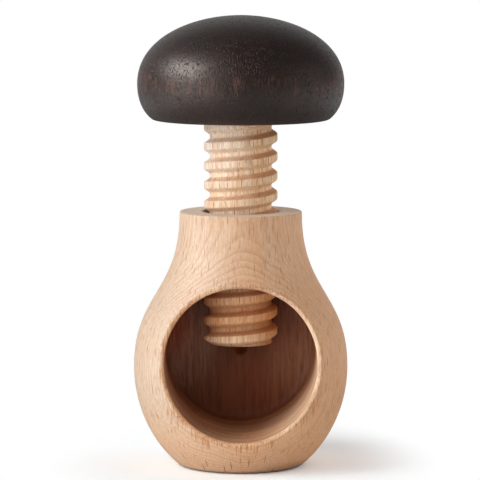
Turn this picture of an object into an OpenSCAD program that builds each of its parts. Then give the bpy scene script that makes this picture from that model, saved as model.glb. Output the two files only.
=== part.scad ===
// Screw nutcracker of turned wood: a belly with a bored nut chamber, a threaded neck,
// a wooden screw that presses on the nut, and a mushroom knob that turns the screw.
// Millimetres, +Z up the screw, origin at the middle of the base, chamber mouth towards -Y.

/* [Body] */
// Height of the body from its base to the flat top of its neck
body_h = 87; // [80:0.5:96]
// Diameter of the belly where it is widest
belly_d = 72.9; // [68:0.1:80]
// Height of the widest part of the belly
belly_z = 33.9; // [31:0.1:37]
// Diameter of the base at its unrounded corner
base_d = 41.6; // [36:0.1:46]
// Length of the rounding on each side of the base corner
base_edge = 1.25; // [0.6:0.05:2]
// Lean of the side, from upright, where it leaves the base, in degrees
base_flare = 50; // [42:1:56]
// Diameter of the neck at its unrounded top corner
neck_d = 41.6; // [38:0.1:46]
// Length of the rounding on each side of the neck's top corner
neck_edge = 0.5; // [0.3:0.05:1]

/* [Body curve] */
// Reach of the curve from the base towards the belly
base_reach = 12; // [8:0.1:16]
// Reach of the curve from the belly down towards the base
belly_reach_down = 12.7; // [8:0.1:16]
// Reach of the curve from the belly up towards the neck
belly_reach_up = 24.8; // [18:0.1:30]
// Reach of the curve from the neck down towards the belly
neck_reach = 27.2; // [20:0.1:32]

/* [Nut chamber] */
// Diameter of the bored chamber
chamber_d = 51.5; // [46:0.5:54]
// Height of the chamber's axis
chamber_z = 37.65; // [35:0.05:40]
// Distance of the chamber's back wall behind the screw's axis
chamber_back = 17.2; // [12:0.1:24]
// Radius of the rounding on the lip of the chamber's mouth
lip_round = 0.9; // [0.6:0.1:1.6]
// Radius of the rounding between the chamber's side and its back wall
corner_round = 3.5; // [2:0.1:5]
// Diameter of the drill point's mark in the back wall
pilot_d = 5.2; // [3:0.1:8]
// Depth of the drill point's mark
pilot_depth = 3; // [1:0.1:5]

/* [Thread] */
// Diameter over the thread's crests
thread_d = 25; // [22:0.1:28]
// Rise of the thread in one turn
thread_pitch = 6.6; // [6.2:0.1:7.4]
// Depth of the thread
thread_depth = 2; // [1.5:0.1:2.4]
// Width of the flat on the crest
crest_w = 2.4; // [2:0.1:2.7]
// Width of the flat between two turns
root_w = 1.6; // [1.5:0.1:2]
// Play between the screw's thread and the neck's thread, square to their faces
thread_play = 0.3; // [0.2:0.01:0.36]
// Width of the bevel round the hole in the top of the neck
hole_bevel = 0.3; // [0.2:0.05:1]

/* [Screw] */
// Length of the screw from its tip to the knob
screw_l = 76.5; // [70:0.5:90]
// Diameter of the flat at the screw's tip
tip_d = 20.4; // [17:0.1:20.6]
// Height of the bevel round the tip
tip_bevel = 1.5; // [0.8:0.1:2.5]
// Height above the tip at which the middle of the crest crosses +X
thread_lead = 4.6; // [0:0.05:6.6]
// Gap between the neck and the knob as the screw stands
knob_gap = 31.2; // [27:0.1:40]

/* [Knob] */
// Diameter of the knob where it is widest
knob_d = 70.2; // [64:0.1:76]
// Height of the knob
knob_h = 35.3; // [31:0.1:40]
// Height of the widest part of the knob above its underside
knob_belly_z = 12.2; // [10:0.1:14]
// Diameter of the flat underside at its unrounded corner
knob_under_d = 59.8; // [54:0.1:62]
// Length of the rounding on each side of the underside's corner
knob_edge = 0.8; // [0.4:0.05:1.4]
// Lean of the knob's side, from upright, where it leaves the underside, in degrees
knob_flare = 50; // [40:1:60]

/* [Knob curve] */
// Reach of the curve from the underside towards the widest part
under_reach = 1.5; // [0.8:0.1:3]
// Reach of the curve from the widest part down towards the underside
knob_reach_down = 7.5; // [5:0.1:8.5]
// Reach of the curve from the widest part up towards the crown
knob_reach_up = 15.6; // [10:0.1:17]
// Reach of the curve from the middle of the crown outwards
crown_reach = 16.3; // [10:0.1:22]

/* [Dowel] */
// Diameter of the dowel that joins the knob to the screw
dowel_d = 10; // [8:0.1:12]
// Length of the dowel inside the knob
dowel_in_knob = 18; // [12:0.5:22]
// Length of the dowel inside the screw
dowel_in_screw = 22; // [14:0.5:30]
// Radial clearance between the dowel and its holes
dowel_play = 0.05; // [0.02:0.01:0.1]
// Room left for glue beyond each end of the dowel
dowel_end_room = 0.5; // [0.3:0.1:0.9]
// Bevel on the dowel's ends
dowel_bevel = 0.8; // [0.4:0.1:1.5]

/* [Hidden] */

beech = [0.80, 0.62, 0.44];
beech_dowel = [0.74, 0.55, 0.37];
dark_stain = [0.12, 0.09, 0.08];

// Steps along each curve and each rounding of an outline
curve_steps = 14;
edge_steps = 3;
corner_steps = 6;
// Steps round a turn of the thread, round the chamber's mouth and across its lip
turn_steps = 36;
mouth_steps = 60;
lip_steps = 4;
// Facets of a round surface where it is shown as a mesh
$fn = 96;

knob_z = body_h + knob_gap;
tip_z = knob_z - screw_l;
crest_r = thread_d / 2;
root_r = crest_r - thread_depth;
flank_w = (thread_pitch - crest_w - root_w) / 2;
flank_slope = flank_w / thread_depth;
// How far the ridge of the thread is let into the core that carries it
ridge_sink = 0.25;
// How far a cutting shape runs past the face that it opens
overrun = 5;
// How far the lip's cutter stands off the two faces that it rounds
lip_lift = 0.05;

// Point on a cubic curve from a to d, drawn towards b and c on the way
function curve_point(a, b, c, d, t) =
    pow(1 - t, 3) * a + 3 * pow(1 - t, 2) * t * b + 3 * (1 - t) * t * t * c + t * t * t * d;

// Points of that curve, without its first point, so that curves can follow each other
function curve(a, b, c, d, steps) =
    [for (i = [1:steps]) curve_point(a, b, c, d, i / steps)];

// Points of a corner rounded between a and b, where the two sides would meet at corner
function rounded(a, corner, b, steps = edge_steps) =
    curve(a, (a + 2 * corner) / 3, (b + 2 * corner) / 3, b, steps);

// Direction of a vector
function unit(v) = v / norm(v);

// Direction of a side that leans outwards from upright by an angle, as [radius, height]
function leaning(angle) = [sin(angle), cos(angle)];

// Side of the body, as [radius, height], from the flat base up to the flat of the neck
function body_side() =
    let (
        base = [base_d / 2, 0],
        flat_base = base - [base_edge, 0],
        above_base = base + base_edge * leaning(base_flare),
        belly = [belly_d / 2, belly_z],
        neck = [neck_d / 2, body_h],
        below_neck = neck - [0, neck_edge],
        from_base = above_base + base_reach * leaning(base_flare)
    )
    concat(
        [flat_base],
        rounded(flat_base, base, above_base),
        curve(above_base, from_base, belly - [0, belly_reach_down], belly, curve_steps),
        curve(belly, belly + [0, belly_reach_up], below_neck - [0, neck_reach], below_neck, curve_steps),
        rounded(below_neck, neck, neck - [neck_edge, 0])
    );

// Radius of the body at a height
radius_by_height = [for (p = body_side()) [p[1], p[0]]];
function body_r(z) = lookup(z, radius_by_height);

// Half outline of the knob, from the middle of its underside to the middle of its crown
function knob_outline() =
    let (
        under = [knob_under_d / 2, knob_z],
        flat_under = under - [knob_edge, 0],
        side = under + knob_edge * leaning(knob_flare),
        belly = [knob_d / 2, knob_z + knob_belly_z],
        crown = [0, knob_z + knob_h]
    )
    concat(
        [[0, knob_z], flat_under],
        rounded(flat_under, under, side),
        curve(side, side + under_reach * leaning(knob_flare), belly - [0, knob_reach_down], belly, curve_steps),
        curve(belly, belly + [0, knob_reach_up], crown + [crown_reach, 0], crown, curve_steps)
    );

// Triangles round a tube whose rings of points follow each other; a ring past the last is the first
function tube_sides(rings, size, total) = [
    for (i = [0:rings - 1], j = [0:size - 1])
        let (a = size * i + j, b = size * i + (j + 1) % size)
        each [[a, b, (b + size) % total], [a, (b + size) % total, (a + size) % total]]
];

// Half width of the thread's ridge at a radius, where every face is moved out by grow
function ridge_half(r, grow) =
    crest_w / 2 + (crest_r - r) * flank_slope + grow * sqrt(1 + flank_slope * flank_slope);

// Ridge of the right-hand thread between two heights, with every face moved out by grow
module ridge(from_z, to_z, grow) {
    inner = root_r + grow - ridge_sink;
    outer = crest_r + grow;
    section = [
        [inner, -ridge_half(inner, grow)],
        [outer, -ridge_half(outer, grow)],
        [outer, ridge_half(outer, grow)],
        [inner, ridge_half(inner, grow)]
    ];
    crossing_z = tip_z + thread_lead;
    first = floor((from_z - crossing_z) / thread_pitch * turn_steps);
    last = ceil((to_z - crossing_z) / thread_pitch * turn_steps);
    points = [
        for (i = [first:last], p = section)
            let (turn = i / turn_steps)
            [p[0] * cos(360 * turn), p[0] * sin(360 * turn), crossing_z + thread_pitch * turn + p[1]]
    ];
    end = 4 * (last - first);
    caps = [[0, 3, 2], [0, 2, 1], [end, end + 1, end + 2], [end, end + 2, end + 3]];
    polyhedron(points, concat(tube_sides(last - first, 4, len(points)), caps));
}

// Point on the front of the body, at an angle round the chamber's axis and a radius from it
function mouth_point(angle, r) =
    let (x = r * cos(angle), z = chamber_z + r * sin(angle))
    [x, -sqrt(pow(body_r(z), 2) - x * x), z];

// Section of what the lip's rounding takes away: a point off the edge, then the arc from wall to front
function lip_section(angle) =
    let (
        edge = mouth_point(angle, chamber_d / 2),
        along_front = unit(mouth_point(angle, chamber_d / 2 + lip_round) - edge),
        along_wall = [0, 1, 0],
        inwards = unit(along_front + along_wall),
        across = unit(along_front - along_wall),
        half_angle = acos(along_front * along_wall) / 2,
        middle = edge + inwards * lip_round / sin(half_angle),
        sweep = 90 - half_angle,
        lifted = lip_round + lip_lift
    )
    concat(
        [edge - inwards * lip_round],
        [for (i = [0:lip_steps])
            let (
                turn = sweep * (2 * i / lip_steps - 1),
                r = i == 0 || i == lip_steps ? lifted : lip_round
            )
            middle + r * (across * sin(turn) - inwards * cos(turn))]
    );

// Ring that rounds the lip all the way round the chamber's mouth
module lip_rounding() {
    points = [for (i = [0:mouth_steps - 1]) each lip_section(360 * i / mouth_steps)];
    polyhedron(points, tube_sides(mouth_steps, lip_steps + 2, len(points)));
}

// Blind chamber bored from the front, with the cone that the drill's point leaves
module chamber() {
    r = chamber_d / 2;
    length = chamber_back + belly_d;
    back = [r - corner_round, 0];
    wall = [r, corner_round];
    outline = concat(
        [[0, 0], back],
        rounded(back, [r, 0], wall, corner_steps),
        [[r, length], [0, length]]
    );
    translate([0, chamber_back, chamber_z]) {
        rotate([90, 0, 0])
            rotate_extrude()
                polygon(outline);
        rotate([-90, 0, 0])
            cylinder(d1 = pilot_d, d2 = 0, h = pilot_depth);
    }
}

// Threaded hole from the chamber up through the neck
module threaded_hole() {
    hole_r = root_r + thread_play;
    bevel_r = crest_r + thread_play + hole_bevel;
    translate([0, 0, chamber_z])
        cylinder(r = hole_r, h = body_h + overrun - chamber_z);
    ridge(chamber_z, body_h + overrun, thread_play);
    translate([0, 0, body_h - hole_bevel])
        cylinder(r1 = bevel_r - hole_bevel, r2 = bevel_r, h = hole_bevel);
}

module body() {
    color(beech)
    difference() {
        rotate_extrude()
            polygon(concat([[0, 0]], body_side(), [[0, body_h]]));
        chamber();
        lip_rounding();
        threaded_hole();
    }
}

// Hole for the dowel, between two heights
module dowel_hole(from_z, to_z) {
    translate([0, 0, from_z])
        cylinder(d = dowel_d + 2 * dowel_play, h = to_z - from_z);
}

module screw() {
    tip_r = tip_d / 2;
    envelope_r = crest_r + overrun;
    bevel_slope = tip_bevel / (crest_r - tip_r);
    color(beech)
    difference() {
        intersection() {
            union() {
                translate([0, 0, tip_z - overrun])
                    cylinder(r = root_r, h = screw_l + 2 * overrun);
                ridge(tip_z - overrun, knob_z + overrun, 0);
            }
            rotate_extrude()
                polygon([
                    [0, tip_z],
                    [tip_r, tip_z],
                    [envelope_r, tip_z + (envelope_r - tip_r) * bevel_slope],
                    [envelope_r, knob_z],
                    [0, knob_z]
                ]);
        }
        dowel_hole(knob_z - dowel_in_screw - dowel_end_room, knob_z + overrun);
    }
}

module knob() {
    color(dark_stain)
    difference() {
        rotate_extrude()
            polygon(knob_outline());
        dowel_hole(knob_z - overrun, knob_z + dowel_in_knob + dowel_end_room);
    }
}

module knob_dowel() {
    low = knob_z - dowel_in_screw;
    high = knob_z + dowel_in_knob;
    r = dowel_d / 2;
    color(beech_dowel)
    rotate_extrude()
        polygon([
            [0, low],
            [r - dowel_bevel, low],
            [r, low + dowel_bevel],
            [r, high - dowel_bevel],
            [r - dowel_bevel, high],
            [0, high]
        ]);
}

body();
screw();
knob();
knob_dowel();
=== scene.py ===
import math
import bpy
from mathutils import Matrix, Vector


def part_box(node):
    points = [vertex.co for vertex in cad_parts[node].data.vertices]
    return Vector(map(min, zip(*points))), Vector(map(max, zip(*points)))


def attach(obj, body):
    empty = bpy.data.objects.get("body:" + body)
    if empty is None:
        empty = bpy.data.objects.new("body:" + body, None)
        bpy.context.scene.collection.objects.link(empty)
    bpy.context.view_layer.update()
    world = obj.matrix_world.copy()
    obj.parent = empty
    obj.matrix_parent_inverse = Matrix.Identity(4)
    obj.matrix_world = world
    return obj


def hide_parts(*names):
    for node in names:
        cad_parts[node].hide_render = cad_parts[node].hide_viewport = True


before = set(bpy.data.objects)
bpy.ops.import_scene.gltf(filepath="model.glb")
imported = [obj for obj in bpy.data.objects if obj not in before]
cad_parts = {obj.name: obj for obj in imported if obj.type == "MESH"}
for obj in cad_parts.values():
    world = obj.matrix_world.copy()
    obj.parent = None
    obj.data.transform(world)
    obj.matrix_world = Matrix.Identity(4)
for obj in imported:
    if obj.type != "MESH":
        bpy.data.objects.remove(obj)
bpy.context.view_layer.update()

from types import SimpleNamespace

import bpy
import numpy as np
from mathutils import Vector

# All sizes are in millimetres until a mesh, a lamp or the camera is made
MM = 0.001


def node_box(node):
    """Lowest and highest corner of a CAD node, in millimetres."""
    low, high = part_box(node)
    return np.array(low) / MM, np.array(high) / MM


body_high = node_box("body")[1]
screw_low, screw_high = node_box("screw")
knob_low, knob_high = node_box("knob")

# Turned body: heights and radii of its outline, and how far its curves reach
BODY_H = body_high[2]
BELLY_R = body_high[0]
BELLY_Z = 33.9
BASE_R = 20.8
BASE_EDGE = 1.25
BASE_FLARE = math.radians(50)
NECK_R = 20.8
NECK_EDGE = 0.5
BASE_REACH = 12
BELLY_REACH_DOWN = 12.7
BELLY_REACH_UP = 24.8
NECK_REACH = 27.2

# Bored nut chamber, its lip, and the mark of the drill's point in its back
CHAMBER_R = 25.75
CHAMBER_Z = 37.65
CHAMBER_BACK = 17.2
CORNER_ROUND = 3.5
LIP_ROUND = 0.9
LIP_FULLNESS = 0.5
LIP_IN_WALL = 0.9
LIP_AIM = 0.9
PILOT_R = 2.6
PILOT_DEPTH = 3
PILOT_EDGE = 0.3
PILOT_EDGE_SHARE = 0.1

# Thread of the screw and of the neck
CREST_R = screw_high[0]
PITCH = 6.6
THREAD_DEPTH = 2
CREST_W = 2.4
ROOT_W = 1.6
FLANK_W = (PITCH - CREST_W - ROOT_W) / 2
FLANK_SLOPE = FLANK_W / THREAD_DEPTH
CREST_SOFT = 0.35
ROOT_SOFT = 0.5
THREAD_PLAY = 0.3
HOLE_BEVEL = 0.3
HOLE_RIM_R = CREST_R + THREAD_PLAY + HOLE_BEVEL
CEILING_R = 13
CEILING_BLEND = 1.6

# Screw
TIP_Z = screw_low[2]
TIP_R = 10.2
TIP_BEVEL = 1.5
TIP_EDGE = 0.35
CROSSING_Z = TIP_Z + 4.6

# Knob
KNOB_Z = knob_low[2]
KNOB_H = knob_high[2] - knob_low[2]
KNOB_R = knob_high[0]
KNOB_BELLY_Z = 12.2
KNOB_UNDER_R = 29.9
KNOB_EDGE = 0.8
KNOB_FLARE = math.radians(50)
UNDER_REACH = 1.5
KNOB_REACH_DOWN = 7.5
KNOB_REACH_UP = 15.6
CROWN_REACH = 16.3

# Holes for the dowel between the knob and the screw
DOWEL_HOLE_R = 5.05
HOLE_IN_KNOB = 18.5
HOLE_IN_SCREW = 22.5

# Columns round a turned surface, round the chamber's mouth and round the screw, all multiples of four
TURN_STEPS = 160
MOUTH_STEPS = 160
SCREW_STEPS = 128

# Rows of the grids, and steps along the curves of the body's side
SCREW_ROWS = 520
SCREW_TOP_ROWS = 5
ABOVE_MOUTH_ROWS = 44
BELOW_MOUTH_ROWS = 14
LIP_ROWS = 10
CHAMBER_FRONT_ROWS = 7
HOLE_ROWS = 110
LOWER_SIDE_STEPS = 400
UPPER_SIDE_STEPS = 600

# Decimals to which points are compared when grids are welded, and the angle from which an edge is sharp
WELD_DECIMALS = 4
SHARP_EDGE = math.radians(35)

# Level of the attribute bored on the chamber's wall, which is 0 outside and 1 on the back and in the hole
WALL_LEVEL = 0.3


def curve(a, b, c, d, steps):
    """Points, at even steps, of the cubic curve that leaves a towards b and reaches d from c.

    Where the four are arrays of points, the curves lie side by side in the columns of a grid.
    """
    a, b, c, d = (np.asarray(p, float) for p in (a, b, c, d))
    t = np.linspace(0, 1, steps + 1).reshape(-1, *[1] * a.ndim)
    return (1 - t) ** 3 * a + 3 * (1 - t) ** 2 * t * b + 3 * (1 - t) * t**2 * c + t**3 * d


def rounded(a, corner, b, steps):
    """Points of a corner rounded from a to b, whose handles lie two thirds of the way to the corner."""
    a, corner, b = (np.asarray(p, float) for p in (a, corner, b))
    return curve(a, (a + 2 * corner) / 3, (b + 2 * corner) / 3, b, steps)


def line(a, b, steps):
    """Points at even steps on the straight line from a to b."""
    return np.linspace(np.asarray(a, float), np.asarray(b, float), steps + 1)


def joined(*parts):
    """Outlines one after another, each without the first point that it shares with the one before."""
    return np.vstack([parts[0]] + [p[1:] for p in parts[1:]])


def leaning(angle):
    """Direction, as radius and height, of a side that leans outwards from upright by an angle."""
    return np.array([math.sin(angle), math.cos(angle)])


def body_outline():
    """The body's half outline as radius and height, in three parts.

    The first is the rounded corner of the base. The second is the side: one curve from the base to the
    belly and one from the belly to the neck, which meet upright at the belly. The third is the rounded
    corner of the neck.
    """
    base = np.array([BASE_R, 0])
    above_base = base + BASE_EDGE * leaning(BASE_FLARE)
    from_base = above_base + BASE_REACH * leaning(BASE_FLARE)
    belly = np.array([BELLY_R, BELLY_Z])
    neck = np.array([NECK_R, BODY_H])
    below_neck = neck - [0, NECK_EDGE]
    to_neck = below_neck - [0, NECK_REACH]
    side = joined(
        curve(above_base, from_base, belly - [0, BELLY_REACH_DOWN], belly, LOWER_SIDE_STEPS),
        curve(belly, belly + [0, BELLY_REACH_UP], to_neck, below_neck, UPPER_SIDE_STEPS),
    )
    return (
        rounded(base - [BASE_EDGE, 0], base, above_base, steps=6),
        side,
        rounded(below_neck, neck, neck - [NECK_EDGE, 0], steps=5),
    )


base_corner, body_side, neck_corner = body_outline()


def body_radius(z):
    """Radius of the body's side at a height, read from its outline."""
    return np.interp(z, body_side[:, 1], body_side[:, 0])


def turned(radius, angle, z):
    """Points of a turned surface: radius and angle round the axis, counted from the front towards +X."""
    return np.stack(np.broadcast_arrays(radius * np.sin(angle), -radius * np.cos(angle), z), axis=-1)


def round_angles(steps):
    """Angles once round an axis, with the first repeated at the end."""
    return np.linspace(0, 2 * math.pi, steps + 1)


def angles_past_gap(half_gaps, steps):
    """Angles round an axis, a row for each gap, from one edge of it the long way round to the other."""
    half_gaps = half_gaps[:, None]
    return half_gaps + (2 * math.pi - 2 * half_gaps) * np.linspace(0, 1, steps + 1)


def soft_step_off(x, soft):
    """Zero below 0 and x above it, with the corner rounded by a parabola over soft on each side."""
    return np.where(np.abs(x) < soft, (x + soft) ** 2 / (4 * soft), np.maximum(x, 0))


def thread_radius(angle, z, grow=0.0):
    """Radius of the right-hand thread at an angle and a height.

    The height above the helix gives the distance from the middle of the nearest crest. From there the
    radius falls by the thread's depth across the flank, as a straight ramp with soft corners at the crest
    and at the root. Every face is moved out by grow, which makes the neck's thread from the screw's.
    """
    turns = (angle - math.pi / 2) / (2 * math.pi)
    along = (z - CROSSING_Z) / PITCH - turns
    off_crest = np.abs((along + 0.5) % 1 - 0.5) * PITCH
    half_crest = CREST_W / 2 + grow * (math.hypot(1, FLANK_SLOPE) - FLANK_SLOPE)
    x = off_crest - half_crest
    fall = (soft_step_off(x, CREST_SOFT) - soft_step_off(x - FLANK_W, ROOT_SOFT)) / FLANK_W
    return CREST_R + grow - THREAD_DEPTH * fall


def grid_triangles(rows, columns, first):
    """Triangles over a grid of points in rows, two for each cell, numbered from first."""
    index = first + np.arange(rows * columns).reshape(rows, columns)
    a, b, c, d = index[:-1, :-1], index[:-1, 1:], index[1:, 1:], index[1:, :-1]
    return np.concatenate([np.stack([a, b, c], -1).reshape(-1, 3), np.stack([a, c, d], -1).reshape(-1, 3)])


def welded(grids):
    """Points and triangles of grids that share their borders, with points that coincide made one.

    The third result is the place that each point had in the grids.
    """
    points, triangles, first = [], [], 0
    for grid in grids:
        rows, columns = grid.shape[:2]
        points.append(grid.reshape(-1, 3))
        triangles.append(grid_triangles(rows, columns, first))
        first += rows * columns
    points, triangles = np.concatenate(points), np.concatenate(triangles)
    keys = np.round(points, WELD_DECIMALS) + 0.0
    _, origin, number = np.unique(keys, axis=0, return_index=True, return_inverse=True)
    triangles = number.reshape(-1)[triangles]
    a, b, c = triangles.T
    return points[origin], triangles[(a != b) & (b != c) & (c != a)], origin


def add_object(name, data):
    """A new object of the scene, at the origin, that holds a mesh, a lamp or a camera."""
    thing = bpy.data.objects.new(name, data)
    bpy.context.scene.collection.objects.link(thing)
    return thing


def make_piece(name, grids, body, node, slot, material, **values):
    """A mesh piece of welded grids that rides on a CAD body and stands for a CAD node.

    Each of values is one array per grid, kept as an attribute of the points. Two are added to them:
    end_grain is how far the surface faces along the wood's fibres, which run up the axis, and underside is
    how far it faces down.
    """
    points, triangles, origin = welded(grids)
    mesh = bpy.data.meshes.new(name)
    mesh.from_pydata((points * MM).tolist(), [], triangles.tolist())
    mesh.shade_smooth()
    mesh.set_sharp_from_angle(angle=SHARP_EDGE)
    mesh.materials.append(material)
    normals = np.zeros(len(points) * 3, np.float32)
    mesh.vertex_normals.foreach_get("vector", normals)
    upward = normals.reshape(-1, 3)[:, 2]
    values = {key: np.concatenate([np.ravel(v) for v in parts])[origin] for key, parts in values.items()}
    values["end_grain"] = upward**2
    values["underside"] = np.maximum(-upward, 0)
    for key, value in values.items():
        mesh.attributes.new(key, "FLOAT", "POINT").data.foreach_set("value", value.astype(np.float32))
    piece = add_object(name, mesh)
    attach(piece, body)
    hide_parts(node)


def mouth_point(angle, radius):
    """Points on the body's front at an angle round the chamber's axis and a distance from it."""
    x = radius * np.cos(angle)
    z = CHAMBER_Z + radius * np.sin(angle)
    return np.stack([x, -np.sqrt(body_radius(z) ** 2 - x**2), z], -1)


def unit(v):
    """Directions of vectors."""
    return v / np.linalg.norm(v, axis=-1, keepdims=True)


def lip_grid():
    """The rounded lip, from the body's front to the chamber's wall, in columns round the mouth.

    At each angle the front and the wall meet at an edge. The lip leaves the front at the distance at which
    a circle of the lip's radius touches it, and it ends a share of that distance down the wall. Between
    those it is a cubic curve, flatter than that circle by its fullness, so the lip reads as a bevel with a
    crisp inner border. Its first handle points along the front, to a point nearer to the edge by the aim.
    """
    angle = math.pi / 2 - round_angles(MOUTH_STEPS)
    edge = mouth_point(angle, CHAMBER_R)
    along_front = unit(mouth_point(angle, CHAMBER_R + LIP_ROUND) - edge)
    along_wall = np.array([0.0, 1.0, 0.0])
    turn = math.pi - np.arccos(along_front @ along_wall)
    reach = LIP_ROUND * np.tan(turn / 2)
    outward = reach * np.hypot(along_front[:, 0], along_front[:, 2])
    front = mouth_point(angle, CHAMBER_R + outward)
    back_to_edge = unit(mouth_point(angle, CHAMBER_R + LIP_AIM * outward) - front)
    wall = edge + LIP_IN_WALL * reach[:, None] * along_wall
    handle = (LIP_FULLNESS * 4 / 3 * np.tan(turn / 4) * LIP_ROUND)[:, None]
    from_front = front + handle * back_to_edge
    to_wall = wall - LIP_IN_WALL * handle * along_wall
    return curve(front, from_front, to_wall, wall, LIP_ROWS)


def outside_grid(lip):
    """The body's outside: its turned outline, from the rim of the threaded hole to the middle of the base.

    Rows that cross the mouth stop at the lip's front border on both sides, so their columns spread over
    what is left of the turn.
    """
    rim = lip[0, : MOUTH_STEPS // 2 + 1]
    above = np.linspace(neck_corner[0, 1], rim[0, 2], ABOVE_MOUTH_ROWS + 1)
    beside = rim[1:-1, 2]
    below = np.linspace(rim[-1, 2], base_corner[-1, 1], BELOW_MOUTH_ROWS + 1)
    side = np.concatenate([above, beside, below])
    top = joined(line([HOLE_RIM_R, BODY_H], [NECK_R - NECK_EDGE, BODY_H], steps=8), neck_corner[::-1])[:-1]
    bottom = joined(base_corner[::-1], line([BASE_R - BASE_EDGE, 0], [0, 0], steps=10))[1:]
    radius = np.concatenate([top[:, 0], body_radius(side), bottom[:, 0]])[:, None]
    z = np.concatenate([top[:, 1], side, bottom[:, 1]])[:, None]
    half_gaps = np.zeros(len(z))
    first = len(top) + len(above)
    half_gaps[first : first + len(beside)] = np.arctan2(rim[1:-1, 0], -rim[1:-1, 1])
    return turned(radius, angles_past_gap(half_gaps, TURN_STEPS), z)


def chamber_grid(lip):
    """The chamber: a bored cylinder with a rounded back corner, a flat back and the drill point's mark.

    Its columns run round the bore's axis from the top. Rows that cross the threaded hole stop at its edge
    on both sides, as the outside's rows stop at the mouth.
    """
    hole_angle = round_angles(TURN_STEPS)[1 : TURN_STEPS // 2]
    beside_hole = -CEILING_R * np.cos(hole_angle)
    half_gap = np.arcsin(CEILING_R * np.sin(hole_angle) / CHAMBER_R)
    wall_end = [CHAMBER_R, CHAMBER_BACK - CORNER_ROUND]
    back_start = [CHAMBER_R - CORNER_ROUND, CHAMBER_BACK]
    back_end = [PILOT_R + PILOT_EDGE, CHAMBER_BACK]
    mark_start = [PILOT_R * (1 - PILOT_EDGE_SHARE), CHAMBER_BACK + PILOT_DEPTH * PILOT_EDGE_SHARE]
    inner = joined(
        line([CHAMBER_R, CEILING_R], wall_end, steps=4),
        rounded(wall_end, [CHAMBER_R, CHAMBER_BACK], back_start, steps=5),
        line(back_start, back_end, steps=16),
        rounded(back_end, [PILOT_R, CHAMBER_BACK], mark_start, steps=3),
        line(mark_start, [0, CHAMBER_BACK + PILOT_DEPTH], steps=5),
    )
    share = np.linspace(0, 1, CHAMBER_FRONT_ROWS + 1)[:, None]
    before_hole = lip[-1, :, 1] * (1 - share) - CEILING_R * share
    behind = np.concatenate([beside_hole, inner[:, 1]])[:, None]
    depth = np.concatenate([before_hole, np.repeat(behind, MOUTH_STEPS + 1, 1)])
    radius = np.concatenate([np.full(len(share) + len(half_gap), CHAMBER_R), inner[:, 0]])[:, None]
    half_gaps = np.concatenate([np.zeros(len(share)), half_gap, np.zeros(len(inner))])
    angle = angles_past_gap(half_gaps, MOUTH_STEPS)
    return np.stack([radius * np.sin(angle), depth, CHAMBER_Z + radius * np.cos(angle)], -1)


def hole_grid():
    """The threaded hole in the neck, from the body's top down to the chamber's ceiling.

    Its radius is the screw's thread moved out by the play. Close to the ceiling it runs out to a plain
    ring, and at the top it is the bevel's radius if that is greater.
    """
    angle = round_angles(TURN_STEPS)
    ceiling = CHAMBER_Z + np.sqrt(CHAMBER_R**2 - (CEILING_R * np.sin(angle)) ** 2)
    z = ceiling + (BODY_H - ceiling) * np.linspace(0, 1, HOLE_ROWS + 1)[:, None]
    thread = thread_radius(angle, z, THREAD_PLAY)
    near_ceiling = np.clip(1 - (z - ceiling) / CEILING_BLEND, 0, 1) ** 2
    thread = thread + (CEILING_R - thread) * near_ceiling
    bevel = HOLE_RIM_R - (BODY_H - z)
    return turned(np.maximum(thread, bevel), angle, z)[::-1]


def body_grids():
    """The body's skin as four grids that share their borders: outside, lip, chamber and threaded hole."""
    lip = lip_grid()
    return [outside_grid(lip), lip, chamber_grid(lip), hole_grid()]


def bored_levels(outside, lip, chamber, hole):
    """The attribute bored: 0 outside, rising over the lip to the wall's level and at the back corner to 1.

    The threaded hole has 1 all over.
    """
    over_lip = np.linspace(0, WALL_LEVEL, len(lip))[:, None]
    over_corner = np.clip((chamber[..., 1] - CHAMBER_BACK + CORNER_ROUND) / CORNER_ROUND, 0, 1)
    return [
        np.zeros(outside.shape[:2]),
        np.broadcast_to(over_lip, lip.shape[:2]),
        WALL_LEVEL + (1 - WALL_LEVEL) * over_corner,
        np.ones(hole.shape[:2]),
    ]


def screw_grid():
    """The screw's skin: flat tip, the bevel round it, thread, the top under the knob and the dowel hole.

    A row is a ring of points at one height, whose radius is the thread's or, near the tip, the bevel's if
    that is less.
    """
    angle = round_angles(SCREW_STEPS)
    bevel_slope = TIP_BEVEL / (CREST_R - TIP_R)
    edge_up = TIP_EDGE * np.array([1, bevel_slope]) / math.hypot(1, bevel_slope)
    tip = joined(
        line([0, TIP_Z], [TIP_R - TIP_EDGE, TIP_Z], steps=8),
        rounded([TIP_R - TIP_EDGE, TIP_Z], [TIP_R, TIP_Z], [TIP_R, TIP_Z] + edge_up, steps=3),
    )
    z = np.linspace(tip[-1, 1], KNOB_Z, SCREW_ROWS + 1)[:, None]
    bevel = TIP_R + (z - TIP_Z) / bevel_slope
    side = np.minimum(thread_radius(angle, z), bevel)
    share = np.linspace(0, 1, SCREW_TOP_ROWS + 1)[1:, None]
    top = side[-1] * (1 - share) + DOWEL_HOLE_R * share
    floor_z = KNOB_Z - HOLE_IN_SCREW
    hole = joined(
        line([DOWEL_HOLE_R, KNOB_Z], [DOWEL_HOLE_R, floor_z], steps=8),
        line([DOWEL_HOLE_R, floor_z], [0, floor_z], steps=3),
    )
    rings = [
        turned(tip[:-1, :1], angle, tip[:-1, 1:]),
        turned(side, angle, z),
        turned(top, angle, KNOB_Z),
        turned(hole[1:, :1], angle, hole[1:, 1:]),
    ]
    return np.concatenate(rings)[::-1]


def groove_levels(screw):
    """The attribute groove: 0 on the thread's crests and 1 at its roots, by the distance from the axis."""
    return np.clip((CREST_R - np.hypot(screw[..., 0], screw[..., 1])) / THREAD_DEPTH, 0, 1)


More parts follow.
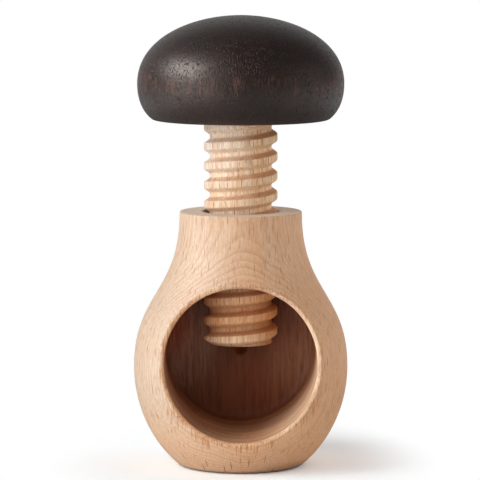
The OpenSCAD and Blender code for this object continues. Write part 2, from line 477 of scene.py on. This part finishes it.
def knob_grid():
    """The knob's skin: its half outline turned once round the axis, with the dowel's hole from below."""
    under = np.array([KNOB_UNDER_R, KNOB_Z])
    side = under + KNOB_EDGE * leaning(KNOB_FLARE)
    belly = np.array([KNOB_R, KNOB_Z + KNOB_BELLY_Z])
    crown = np.array([0, KNOB_Z + KNOB_H])
    hole_top = KNOB_Z + HOLE_IN_KNOB
    from_under = side + UNDER_REACH * leaning(KNOB_FLARE)
    outline = joined(
        line([0, hole_top], [DOWEL_HOLE_R, hole_top], steps=3),
        line([DOWEL_HOLE_R, hole_top], [DOWEL_HOLE_R, KNOB_Z], steps=8),
        line([DOWEL_HOLE_R, KNOB_Z], under - [KNOB_EDGE, 0], steps=14),
        rounded(under - [KNOB_EDGE, 0], under, side, steps=6),
        curve(side, from_under, belly - [0, KNOB_REACH_DOWN], belly, steps=36),
        curve(belly, belly + [0, KNOB_REACH_UP], crown + [CROWN_REACH, 0], crown, steps=90),
    )
    return turned(outline[:, :1], round_angles(TURN_STEPS), outline[:, 1:])[::-1]


# Places of the two colours and of the mixed one among a Mix node's sockets
MIX_A, MIX_B, MIX_OUT = 6, 7, 2


class Shade:
    """A socket of a material's nodes, so that shader maths can be written as Python expressions."""

    def __init__(self, tree, socket=None):
        self.tree = tree
        self.socket = socket

    def add(self, kind, settings=None, sockets=None, out=0):
        """One output of a new node: its settings are set first, then values or links for its sockets."""
        node = self.tree.nodes.new(kind)
        for key, value in (settings or {}).items():
            setattr(node, key, value)
        for key, value in (sockets or {}).items():
            if isinstance(value, Shade):
                self.tree.links.new(value.socket, node.inputs[key])
            else:
                node.inputs[key].default_value = value
        return Shade(self.tree, node.outputs[out])

    def math(self, operation, *values):
        """A Math node with its values in order."""
        return self.add("ShaderNodeMath", {"operation": operation}, dict(enumerate(values)))

    def __add__(self, other):
        return self.math("ADD", self, other)

    def __sub__(self, other):
        return self.math("SUBTRACT", self, other)

    def __rsub__(self, other):
        return self.math("SUBTRACT", other, self)

    def __mul__(self, other):
        return self.math("MULTIPLY", self, other)

    def __truediv__(self, other):
        return self.math("DIVIDE", self, other)

    def __pow__(self, other):
        return self.math("POWER", self, other)

    def __abs__(self):
        return self.math("ABSOLUTE", self)

    __radd__ = __add__
    __rmul__ = __mul__

    def greater(self, other):
        """The greater of two values."""
        return self.math("MAXIMUM", self, other)

    def between(self, low, high):
        """0 at low and 1 at high, with a soft start and end; low may be the greater."""
        sockets = {"Value": self, "From Min": low, "From Max": high}
        return self.add("ShaderNodeMapRange", {"interpolation_type": "SMOOTHSTEP"}, sockets)

    def blend(self, first, second):
        """The first colour where this value is 0, and the second where it is 1."""
        sockets = {"Factor": self, MIX_A: first, MIX_B: second}
        return self.add("ShaderNodeMix", {"data_type": "RGBA"}, sockets, MIX_OUT)

    def tint(self, factor, other, blend="MIX"):
        """This colour mixed with another by a factor."""
        settings = {"data_type": "RGBA", "blend_type": blend}
        return self.add("ShaderNodeMix", settings, {"Factor": factor, MIX_A: self, MIX_B: other}, MIX_OUT)


def length(a, b):
    """Length of the diagonal over two sides."""
    return a.math("SQRT", a * a + b * b)


def combined(x, y, z):
    """A vector of three values."""
    return x.add("ShaderNodeCombineXYZ", {}, {0: x, 1: y, 2: z})


def noise(place, sizes, detail=2.0, rough=0.5):
    """Noise whose lumps have three sizes along X, Y and Z."""
    vector = combined(*(value / size for value, size in zip(place, sizes)))
    sockets = {"Vector": vector, "Scale": 1.0, "Detail": detail, "Roughness": rough}
    return vector.add("ShaderNodeTexNoise", {}, sockets)


def surface_place(start):
    """A point's place on its piece as three values, in millimetres."""
    place = start.add("ShaderNodeTexCoord", out="Object")
    place = start.add("ShaderNodeMapping", {}, {"Vector": place, "Scale": (1 / MM,) * 3})
    return [start.add("ShaderNodeSeparateXYZ", {}, {0: place}, axis) for axis in range(3)]


def attribute(start, name):
    """One of the values that a piece keeps at its points."""
    return start.add("ShaderNodeAttribute", {"attribute_name": name}, {}, "Fac")


def bumped(height, strength, deep):
    """The surface's direction with a relief, where a height of 1 is deep millimetres."""
    return height.add("ShaderNodeBump", {}, {"Strength": strength, "Distance": deep * MM, "Height": height})


def feed(shade, shader, name):
    """Links a value to one of a shader's sockets."""
    shade.tree.links.new(shade.socket, shader.inputs[name])


def new_material(name):
    """A new node material: the material, a start for its nodes, and its Principled shader."""
    material = bpy.data.materials.new(name)
    material.use_nodes = True
    tree = material.node_tree
    return material, Shade(tree), tree.nodes["Principled BSDF"]


def colour(red, green, blue):
    """A colour written as 0 to 255 on screen, as the linear values that a shader takes."""
    part = np.array([red, green, blue]) / 255
    linear = np.where(part <= 0.04045, part / 12.92, ((part + 0.055) / 1.055) ** 2.4)
    return (*linear.tolist(), 1.0)


WHITE = (1, 1, 1, 1)

# Beech and the marks of its grain
# The pale left colour is sapwood and painted lit-side paleness; the warmer right colour is heart wood and
# painted shaded-side warmth
SAPWOOD_AND_LIT_PALENESS = colour(222, 203, 182)
HEARTWOOD_AND_SHADED_WARMTH = colour(224, 174, 133)
DARK_STREAK = colour(194, 130, 86)
PALE_STREAK = colour(238, 208, 174)
RING_END = colour(180, 124, 80)
FIBRE_TAN = colour(206, 156, 112)
PORE_BROWN = colour(160, 108, 72)
RAY_BROWN = colour(158, 86, 44)

# Marks on the body, with painted light and shade among them
BODY_END_GRAIN = colour(250, 237, 220)
BELLY_WARM = colour(250, 197, 150)
MOUTH_GLOW = colour(250, 200, 154)
TICK_BROWN = colour(186, 116, 62)
TORN_BROWN = colour(182, 110, 58)
LIP_PAINTED_LIGHT = colour(250, 220, 186)
LIP_PAINTED_BOUNCE_LIGHT = colour(246, 198, 144)
WALL_PAINTED_LIGHT = colour(250, 214, 178)
WALL_SHADE = colour(196, 124, 100)
TOOL_LINE = colour(158, 102, 64)
INNER_WALL_SHADE = colour(190, 134, 98)
BACK_GRAIN = colour(150, 96, 58)
BACK_MIDDLE_SHADE = colour(133, 89, 59)
BACK_SIDES_SHADE = colour(200, 113, 63)
FOOT_SHADE = colour(124, 78, 50)
FOOT_CONTACT_SHADOW = colour(84, 50, 30)

# Screw, with painted shade on its thread's undersides and lower end, and knob
# The screw's pale left is sapwood and painted lit-side paleness; its warmer colour is heart wood, painted
# shaded-side warmth and painted chamber shade
SCREW_SAPWOOD_AND_LIT_PALENESS = colour(240, 235, 224)
SCREW_HEARTWOOD_AND_SHADE = colour(238, 203, 162)
THREAD_UNDERSIDE_SHADE = colour(168, 100, 52)
LOWER_SCREW_SHADE = colour(245, 221, 198)
GROOVE_SHADE = colour(140, 82, 48)
STAIN_BROWN = colour(40, 27, 23)
STAIN_BLACK = colour(33, 25, 22)
STAINED_PORE = colour(16, 12, 11)
RED_FIBRE = colour(81, 48, 39)
WARM_GLOSS = (1.0, 0.88, 0.83, 1.0)

# Places where the pale left side, sapwood and painted lit-side paleness, turns to the warmer wood of the heart
# and of the shaded side, and how far that border wanders
BODY_SAP_AND_LIGHT_X = (-22, 34)
SCREW_SAP_AND_LIGHT_X = (-11, 15)
SAP_AND_LIGHT_WANDER = 14

# Distance in front of the axis at which a ray has its full width, the share of a dash that is full dark, and
# how softly the cells without a dash set in
RAY_R = 20
DASH_CORE = 0.45
CHANCE_SOFT = 0.15

# Sanded beech: its dullness, what fibres and cut ends add to it, and its shine
BEECH_DULL = 0.46
FIBRE_DULL = 0.14
END_DULL = 0.15
BEECH_SHINE = 0.42

# Waxed knob: its dullness, what pores add to it, and its shine
WAX_DULL = 0.40
PORE_DULL = 0.3
WAX_SHINE = 0.7

# Marks on the body, each from where it starts to where it is full
LOWER_BELLY_Z = (26, 8)
FRONT_Y = (-4, -8)
GLOW_OFF_BORE = (7, 0.6)
GLOW_X = (-16, 6)
GLOW_Z = (26, 16)
FRINGE_OFF_BORE = (2.4, 0.8)
FRINGE_Z = (30, 20)
TORN_OFF_BORE = (2.6, 1.4)
LIP_RIGHT_X = (2, 16)
LIP_LEFT_X = (2, -12)
WALL_RIGHT_X = (4, 22)
WALL_LEFT_X = (-8, -20)
WALL_INWARD_Y = (-5, 14)
BACK_LEFT_X = (-5, -24)
BACK_LEFT_Z = (18, 46)
BACK_RIGHT_X = (4, 22)
BACK_RIGHT_Z = (16, 40)
FOOT_SIDE_X = (2, 18)
FOOT_FRONT_Y = (4, -4)
FOOT_SIDE_Z = (4.5, 0.5)
FOOT_EDGE_R = (17.5, 19.5)
FOOT_EDGE_Z = (1.5, 0.1)

# How far single fibres and ticks move the edges of the marks round the mouth
FIBRE_REACH = 2.4
TICK_REACH = 2.4

# Heights from where the painted shade on the screw's lower end, which sits in the chamber, starts to where it
# is full, and over which its paler tip ends
CHAMBER_SHADE_Z = (84, 58)
CHAMBER_SHADE_WANDER = 10
ABOVE_TIP_Z = (TIP_Z + 1, TIP_Z + 7)

# Band of red fibres above the knob's underside, and the rings that its pores lie along
RED_BAND_BOTTOM = (11.4, 12.6)
RED_BAND_TOP = (15.2, 14.0)
RED_BAND_RAGGED = 3
KNOB_PITH_Y = 48
KNOB_RING_WANDER = 6
KNOB_RING_PHASE = 2.4


def growth_rings(place, pith, ring):
    """Circles about the pith, a ring's width apart and wandering.

    The share of a ring that has been passed, cubed, makes each ring end in a thin line, and its strength is
    a random one for the year.
    """
    x, y = place[:2]
    wander = noise(place, (30, 30, 60)) * 7 + noise(place, (5, 5, 30)) * 0.7
    count = (length(x - pith[0], y - pith[1]) + wander) / ring
    years = count.math("FLOOR", count)
    year = count.add("ShaderNodeTexWhiteNoise", {"noise_dimensions": "1D"}, {"W": years}, "Value")
    return count.math("FRACT", count) ** 3.0 * (0.2 + 0.8 * year)


def wood_rays(place, heart, upright):
    """Short dark dashes along the fibres, on planes that meet at the heart.

    A dash is the middle of a tall thin cell, and only a share of the cells has one. Two sizes of dash lie
    on upright faces, and longer ones on sloping faces.
    """
    x, y, z = place
    around = x.math("ARCTAN2", x - heart[0], heart[1] - y) * (RAY_R + heart[1])
    outward = length(x - heart[0], y - heart[1])

    def dashes(width, deep, tall, thin, share):
        sockets = {"Vector": combined(around / width, outward / deep, z / tall), "Scale": 1.0}
        away = x.add("ShaderNodeTexVoronoi", {}, sockets)
        chance = x.add("ShaderNodeTexVoronoi", {}, sockets, "Color")
        chance = x.add("ShaderNodeSeparateColor", {}, {0: chance})
        return away.between(thin, thin * DASH_CORE) * chance.between(1 - share, 1 - share + CHANCE_SOFT)

    bold = dashes(width=0.62, deep=3.1, tall=9, thin=0.3, share=0.8)
    small = dashes(width=0.45, deep=2.25, tall=4, thin=0.3, share=0.8) * 0.6
    sloping = dashes(width=0.9, deep=16.2, tall=15, thin=0.2, share=0.7) * 2.0
    return (bold.greater(small) * upright).greater(sloping * (1 - upright))


def beech_grain(start, pith, heart, ring, fine):
    """The marks of beech whose fibres run up the axis, as values over its surface.

    Rings lie about the pith and rays about the heart. Fibres, pores and streaks are stretched noise, with
    streaks about as wide as fine. Patches are wide and soft. Upright is 1 on faces along the fibres.
    """
    place = surface_place(start)
    upright = attribute(start, "end_grain").between(0.6, 0.1)
    return SimpleNamespace(
        place=place,
        upright=upright,
        rings=growth_rings(place, pith, ring),
        rays=wood_rays(place, heart, upright),
        fibre=noise(place, (0.4, 0.4, 7), 3.0, 0.65),
        pores=noise(place, (0.2, 0.2, 1.4), 1.0).between(0.56, 0.72),
        streaks=noise(place, (fine, fine, 30), 3.0, 0.6),
        patches=noise(place, (14, 14, 45)).between(0.3, 0.7),
    )


def heart_and_shade_share(grain, border):
    """0 in the sapwood on the left, which is also painted lit-side paleness, and 1 in the warmer wood of the
    heart and of the shaded side, with a wandering border between two places.
    """
    return (grain.place[0] + SAP_AND_LIGHT_WANDER * grain.patches).between(*border)


def grain_colours(base, grain, heart_and_shade, streaked, rays_dark):
    """A plain wood colour with streaks, ring ends, fibres, pores and rays over it, one after another."""
    streaks, fibre = grain.streaks, grain.fibre
    base = base.tint(streaks.between(0.48, 0.66) * streaked * (0.4 + 0.6 * heart_and_shade), DARK_STREAK)
    base = base.tint(streaks.between(0.46, 0.30) * streaked * 0.6, PALE_STREAK)
    base = base.tint(grain.rings * (0.25 + 0.75 * fibre) * (1.5 - 0.5 * grain.upright), RING_END)
    base = base.tint(fibre.between(0.38, 0.64) * 0.5, FIBRE_TAN)
    base = base.tint(grain.pores * 0.2, PORE_BROWN)
    return base.tint(grain.rays * rays_dark, RAY_BROWN)


def finish_beech(shader, base, grain, end):
    """A sanded finish: duller on fibres and on cut ends, with rays and pores sunk and fibres raised."""
    feed(base, shader, "Base Color")
    feed(BEECH_DULL + FIBRE_DULL * grain.fibre + END_DULL * end, shader, "Roughness")
    shader.inputs["Specular IOR Level"].default_value = BEECH_SHINE
    height = grain.rays * -0.6 + grain.fibre * 0.4 - grain.pores * 0.6
    feed(bumped(height, strength=0.25, deep=0.05), shader, "Normal")


def mouth_colours(base, grain, bored):
    """Marks round the chamber's mouth, by the distance from the bore, which the fibres make uneven.

    A warm glow of light is painted below the mouth, towards its right. Darker ticks and torn fibres lie along
    its edge, where the cutter went across the grain. The lip has painted light on the right and painted warm
    bounce light, tan, on the left.
    """
    x, y, z = grain.place
    front = y.between(*FRONT_Y)
    off_bore = length(x, z - CHAMBER_Z) + (grain.fibre - 0.5) * FIBRE_REACH - CHAMBER_R
    ticks = noise(grain.place, (0.6, 9, 30), 2.0, 0.6).between(0.5, 0.62)
    glow = off_bore.between(*GLOW_OFF_BORE) * front * z.between(*GLOW_Z) * x.between(*GLOW_X)
    fringe = (off_bore - TICK_REACH * ticks).between(*FRINGE_OFF_BORE) * front * z.between(*FRINGE_Z)
    fringe = fringe * bored.between(0.25, 0.1)
    torn = grain.fibre.between(0.5, 0.6) * off_bore.between(*TORN_OFF_BORE) * front
    lip = bored.between(0.03, 0.12) * bored.between(WALL_LEVEL + 0.002, WALL_LEVEL - 0.004)
    # Painted warm light below the mouth, stronger towards the right
    base = base.tint(glow * 0.6, MOUTH_GLOW)
    base = base.tint(fringe * ticks * 0.65, TICK_BROWN)
    # Painted light on the lip's lit right side, and painted warm bounce light, tan, on its shaded left side
    base = base.tint(lip * x.between(*LIP_RIGHT_X) * 0.8, LIP_PAINTED_LIGHT)
    base = base.tint(lip * x.between(*LIP_LEFT_X) * 0.6, LIP_PAINTED_BOUNCE_LIGHT)
    return base.tint(torn * 0.7, TORN_BROWN)


def chamber_colours(base, grain, bored):
    """The chamber's wall and back.

    The wall has painted light on the right and painted shade on the left and further in, with the cutter's
    fine lines round it. The back has painted shade and coarse upright grain, with less painted shade at its
    upper sides.
    """
    x, y, z = grain.place
    wall = bored.between(0, 0.25) * bored.between(0.9, WALL_LEVEL)
    tool_lines = noise(grain.place, (30, 1.7, 30), 3.0, 0.7).between(0.44, 0.6)
    coarse = noise(grain.place, (1.3, 1.3, 16), 4.0, 0.7).between(0.42, 0.62)
    deep = bored.between(WALL_LEVEL + 0.02, 0.8)
    aside = x.between(*BACK_LEFT_X) * z.between(*BACK_LEFT_Z)
    aside = aside + x.between(*BACK_RIGHT_X) * z.between(*BACK_RIGHT_Z) * 0.4
    # Painted light on the wall's right, and painted shade on its left and further in
    base = base.tint(wall * x.between(*WALL_RIGHT_X) * 0.7, WALL_PAINTED_LIGHT)
    base = base.tint(wall * x.between(*WALL_LEFT_X) * 0.4, WALL_SHADE, "MULTIPLY")
    base = base.tint(wall * tool_lines * 0.45, TOOL_LINE)
    base = base.tint(wall * y.between(*WALL_INWARD_Y) * 0.65, INNER_WALL_SHADE, "MULTIPLY")
    base = base.tint(coarse * bored.between(0.7, 1.0) * 0.45, BACK_GRAIN)
    # Painted shade on the back, lighter at its upper sides
    base = base.tint(deep * (1 - aside), BACK_MIDDLE_SHADE, "MULTIPLY")
    return base.tint(deep * aside, BACK_SIDES_SHADE, "MULTIPLY")


def foot_colours(base, grain):
    """The foot: painted shade on its right side at the front, and a painted contact shadow along the edge where
    it stands.
    """
    x, y, z = grain.place
    side = z.between(*FOOT_SIDE_Z) * x.between(*FOOT_SIDE_X) * y.between(*FOOT_FRONT_Y)
    # Painted shade on the foot's right side, and a painted contact shadow along its edge
    base = base.tint(side * 0.5, FOOT_SHADE)
    return base.tint(z.between(*FOOT_EDGE_Z) * length(x, y).between(*FOOT_EDGE_R) * 0.75, FOOT_CONTACT_SHADOW)


def body_beech():
    """The body's wood: sapwood and painted lit-side paleness on the left, a warmer lower belly, pale end grain,
    and marks with painted light and shade at the mouth, chamber and foot.
    """
    material, start, shader = new_material("body_beech")
    grain = beech_grain(start, pith=(1, 56), heart=(0, 12), ring=0.95, fine=1.3)
    bored = attribute(start, "bored")
    outside = bored.between(0.2, 0)
    end = attribute(start, "end_grain").between(0.5, 0.95) * outside
    heart_and_shade = heart_and_shade_share(grain, BODY_SAP_AND_LIGHT_X)
    base = heart_and_shade.blend(SAPWOOD_AND_LIT_PALENESS, HEARTWOOD_AND_SHADED_WARMTH)
    base = base.tint(grain.place[2].between(*LOWER_BELLY_Z) * outside * 0.45, BELLY_WARM)
    base = grain_colours(base, grain, heart_and_shade, streaked=0.25, rays_dark=0.62)
    base = base.tint(end * (0.35 + 0.6 * grain.fibre), BODY_END_GRAIN)
    base = mouth_colours(base, grain, bored)
    base = chamber_colours(base, grain, bored)
    base = foot_colours(base, grain)
    finish_beech(shader, base, grain, end)
    return material


def screw_beech():
    """The screw's wood: bold rays, painted shade on the thread's undersides, and painted shade on its lower
    end, which sits in the chamber.

    That shaded end takes the warmer colour of the heart wood, is darker above its paler tip and darkest in
    the grooves.
    """
    material, start, shader = new_material("screw_beech")
    grain = beech_grain(start, pith=(-14, 38), heart=(4, 30), ring=0.9, fine=0.7)
    z = grain.place[2]
    # Painted shade on the screw's lower end, which sits in the chamber
    chamber_shade = (z + CHAMBER_SHADE_WANDER * grain.streaks).between(*CHAMBER_SHADE_Z)
    heart_and_shade = heart_and_shade_share(grain, SCREW_SAP_AND_LIGHT_X).greater(chamber_shade * 0.85)
    # Here end marks the thread's downward faces, which get painted shade, stronger where the wood is warmer
    end = attribute(start, "underside").between(0.25, 0.8) * (0.15 + 0.85 * heart_and_shade)
    base = heart_and_shade.blend(SCREW_SAPWOOD_AND_LIT_PALENESS, SCREW_HEARTWOOD_AND_SHADE)
    base = grain_colours(base, grain, heart_and_shade, streaked=0.5, rays_dark=1.0)
    base = base.tint(end * (0.35 + 0.6 * grain.fibre), THREAD_UNDERSIDE_SHADE)
    # Painted shade above the paler tip, and deepest in the grooves
    base = base.tint(chamber_shade * z.between(*ABOVE_TIP_Z), LOWER_SCREW_SHADE, "MULTIPLY")
    base = base.tint(chamber_shade * attribute(start, "groove").between(0.2, 0.9) * 0.45, GROOVE_SHADE)
    finish_beech(shader, base, grain, end)
    return material


def dowel_beech():
    """The hidden dowel's wood: plain beech."""
    material, start, shader = new_material("dowel_beech")
    grain = beech_grain(start, pith=(20, 30), heart=(10, 30), ring=0.9, fine=1.3)
    heart_and_shade = heart_and_shade_share(grain, BODY_SAP_AND_LIGHT_X)
    base = heart_and_shade.blend(SAPWOOD_AND_LIT_PALENESS, HEARTWOOD_AND_SHADED_WARMTH)
    base = grain_colours(base, grain, heart_and_shade, streaked=0.25, rays_dark=0.5)
    finish_beech(shader, base, grain, end=0)
    return material


def knob_stain():
    """The knob's brown-black stained wood under a satin wax, with its fibres up the axis.

    Pores run along the fibres, so they are dots on the crown and short dashes on the side, in rows along
    the growth rings. Reddish fibres show through the stain in a ragged band where the side stands upright.
    """
    material, start, shader = new_material("knob_stain")
    place = surface_place(start)
    x, y, z = place
    ragged = noise(place, (1.1, 1.1, 40), 1.0) * RED_BAND_RAGGED
    height = z - KNOB_Z
    band = (height + ragged).between(*RED_BAND_BOTTOM) * (height - ragged).between(*RED_BAND_TOP)
    ring = length(x, y - KNOB_PITH_Y) + noise(place, (12, 12, 30)) * KNOB_RING_WANDER
    ring = start.math("SINE", ring * KNOB_RING_PHASE)
    pores = noise(place, (0.5, 0.5, 1.2), 0.0).between(0.57, 0.65) * (0.4 + 0.6 * ring.between(-1.0, 0.6))
    specks = noise(place, (0.4, 0.4, 0.6), 0.0).between(0.66, 0.72)
    fibres = noise(place, (0.9, 0.9, 9), 1.0).between(0.47, 0.6)
    fibres = fibres * noise(place, (6, 6, 12)).between(0.35, 0.6)
    haze = noise(place, (9, 9, 9)).between(0.3, 0.7)
    base = haze.blend(STAIN_BROWN, STAIN_BLACK)
    base = base.tint(band * fibres * 0.7, RED_FIBRE)
    base = base.tint(pores * 0.4, STAINED_PORE)
    feed(base, shader, "Base Color")
    feed(WAX_DULL + PORE_DULL * pores, shader, "Roughness")
    shader.inputs["Specular IOR Level"].default_value = WAX_SHINE
    shader.inputs["Specular Tint"].default_value = WARM_GLOSS
    feed(bumped(specks * 0.5 - pores, strength=0.6, deep=0.14), shader, "Normal")
    return material


body = body_grids()
make_piece("turned_body", body, "body", "body", "beech", body_beech(), bored=bored_levels(*body))
screw = screw_grid()
groove = [groove_levels(screw)]
make_piece("wooden_screw", [screw], "screw", "screw", "beech_screw", screw_beech(), groove=groove)
make_piece("mushroom_knob", [knob_grid()], "screw", "knob", "dark_stained_wood", knob_stain())
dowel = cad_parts["knob_dowel"]
dowel.data.materials.clear()
dowel.data.materials.append(dowel_beech())

# Camera, from the fit of the outlines; the clip distance is in metres
IMAGE_SIZE = 480
SENSOR = 36
FOCAL_PIXELS = 3400
CAMERA_AWAY = 1157.3
CAMERA_DOWN = math.radians(6.1)
AIM = Vector((-0.25, 0, 77.05))
CLIP_END = 100

# Floor: its size, its tone for light, its tones in reflections near the object and to its left and right
# with the distances between them, and the tones that the camera sees near the object and away from it
FLOOR_R = 1500
FLOOR_RINGS = 4
FLOOR_STEPS = 96
FLOOR_TONE = 0.8
MIRRORED_NEAR = 0.38
MIRRORED_ASIDE = 1.18
MIRRORED_X = (100, 350)
SEEN_NEAR = (1.24, 1.36, 1.43, 1)
SEEN_FAR = (1.31, 1.35, 1.38, 1)

# Distances over which the camera's near tone turns to the far one, and that to white, nearer at the sides
SEEN_CHANGE = (36, 75)
SEEN_FADE = (58, 112)
FADE_NARROWER = 1.6

# Brightness of the room, of the backdrop and of the backdrop in reflections, and how far backwards a ray points
# where each backdrop starts and where it is full
ROOM_LEVEL = 0.05
BACKDROP_LEVEL = 0.45
MIRRORED_BACKDROP = 0.64
BACKDROP_REACH = (-0.2, 0.6)
MIRRORED_REACH = (0.5, 1.0)


def aimed(back):
    """Turn that looks along the opposite of a direction, with +Z up in the picture."""
    return (-back).to_track_quat("-Z", "Y").to_euler()


def add_camera():
    """Camera at the photograph's distance and downward angle."""
    back = Vector((0, -math.cos(CAMERA_DOWN), math.sin(CAMERA_DOWN)))
    data = bpy.data.cameras.new("camera")
    data.sensor_width = SENSOR
    data.lens = SENSOR * FOCAL_PIXELS / IMAGE_SIZE
    data.clip_end = CLIP_END
    camera = add_object("camera", data)
    camera.location = (AIM + back * CAMERA_AWAY) * MM
    camera.rotation_euler = aimed(back)
    bpy.context.scene.camera = camera


def add_lamp(name, direction, away, wide, tall, level, glossy=False):
    """A soft rectangular lamp that gives a facing white surface a brightness of level.

    A glossy lamp is only seen as a reflection in the surfaces, and the others only light them.
    """
    back = Vector(direction).normalized()
    data = bpy.data.lights.new(name, "AREA")
    data.shape = "RECTANGLE"
    data.size = wide * MM
    data.size_y = tall * MM
    data.energy = level * (math.pi * away * MM) ** 2
    lamp = add_object(name, data)
    lamp.location = (AIM + back * away) * MM
    lamp.rotation_euler = aimed(back)
    lamp.visible_glossy = glossy
    lamp.visible_diffuse = not glossy


def floor_white():
    """A pale matt white. The camera sees it fade to plain white away from the object, past the soft shadow.

    In reflections it is darker close to the object and brighter to the left and right of it.
    """
    material, start, shader = new_material("floor_white")
    start.tree.nodes.remove(shader)
    x, y = surface_place(start)[:2]
    away = length(x * FADE_NARROWER, y)
    seen = start.add("ShaderNodeLightPath", out="Is Camera Ray")
    mirrored = start.add("ShaderNodeLightPath", out="Is Glossy Ray")
    in_mirror = MIRRORED_NEAR + (MIRRORED_ASIDE - MIRRORED_NEAR) * abs(x).between(*MIRRORED_X)
    tone = FLOOR_TONE + (in_mirror - FLOOR_TONE) * mirrored
    matt = start.add("ShaderNodeBsdfDiffuse", {}, {"Color": tone})
    white = start.add("ShaderNodeEmission", {}, {"Color": WHITE, "Strength": 1.0})
    bright = away.between(*SEEN_CHANGE).blend(SEEN_NEAR, SEEN_FAR)
    bright = start.add("ShaderNodeBsdfDiffuse", {}, {"Color": bright})
    shown = start.add("ShaderNodeMixShader", {}, {0: away.between(*SEEN_FADE), 1: bright, 2: white})
    mixed = start.add("ShaderNodeMixShader", {}, {0: seen, 1: matt, 2: shown})
    feed(mixed, start.tree.nodes["Material Output"], "Surface")
    return material


def add_floor():
    """A round flat floor: rings of points about the axis at height 0."""
    rings = np.linspace(0, FLOOR_R, FLOOR_RINGS + 1)[:, None]
    points, triangles, _ = welded([turned(rings, round_angles(FLOOR_STEPS), 0)])
    mesh = bpy.data.meshes.new("floor")
    mesh.from_pydata((points * MM).tolist(), [], triangles[:, ::-1].tolist())
    mesh.materials.append(floor_white())
    floor = add_object("floor", mesh)


def add_world():
    """A white backdrop behind the object and a dim room in front of it; the camera sees plain white.

    The backdrop's brightness follows how far a ray points backwards, and in reflections it is narrower.
    """
    world = bpy.data.worlds.new("studio")
    bpy.context.scene.world = world
    world.use_nodes = True
    start = Shade(world.node_tree)
    ray = start.add("ShaderNodeTexCoord", out="Generated")
    backward = start.add("ShaderNodeSeparateXYZ", {}, {0: ray}, 1)
    seen = start.add("ShaderNodeLightPath", out="Is Camera Ray")
    mirrored = start.add("ShaderNodeLightPath", out="Is Glossy Ray")
    lit = BACKDROP_LEVEL * backward.between(*BACKDROP_REACH) * (1 - mirrored)
    shine = MIRRORED_BACKDROP * backward.between(*MIRRORED_REACH) * mirrored
    backdrop = world.node_tree.nodes["Background"]
    backdrop.inputs["Color"].default_value = WHITE
    feed((ROOM_LEVEL + lit + shine).greater(seen), backdrop, "Strength")


add_camera()
add_lamp("key", (-0.84, -0.34, 0.50), away=900, wide=540, tall=400, level=0.43)
add_lamp("key_gleam", (-0.86, -0.27, 0.60), away=900, wide=660, tall=360, level=0.90, glossy=True)
add_lamp("window", (-0.80, -0.57, 0.12), away=900, wide=760, tall=600, level=0.60)
add_lamp("window_gleam", (-0.84, -0.46, 0.10), away=900, wide=700, tall=600, level=0.25, glossy=True)
add_lamp("side_gleam", (0.95, -0.12, 0.30), away=1500, wide=1200, tall=900, level=0.055, glossy=True)
add_lamp("front", (-0.30, -0.95, 0.10), away=900, wide=600, tall=500, level=0.32)
add_lamp("side", (0.97, -0.10, 0.18), away=1500, wide=1200, tall=1200, level=0.43)
add_lamp("rim", (0.85, 0.45, 0.30), away=1500, wide=1000, tall=1000, level=0.24)
add_floor()
add_world()
bpy.context.scene.view_settings.view_transform = "Standard"
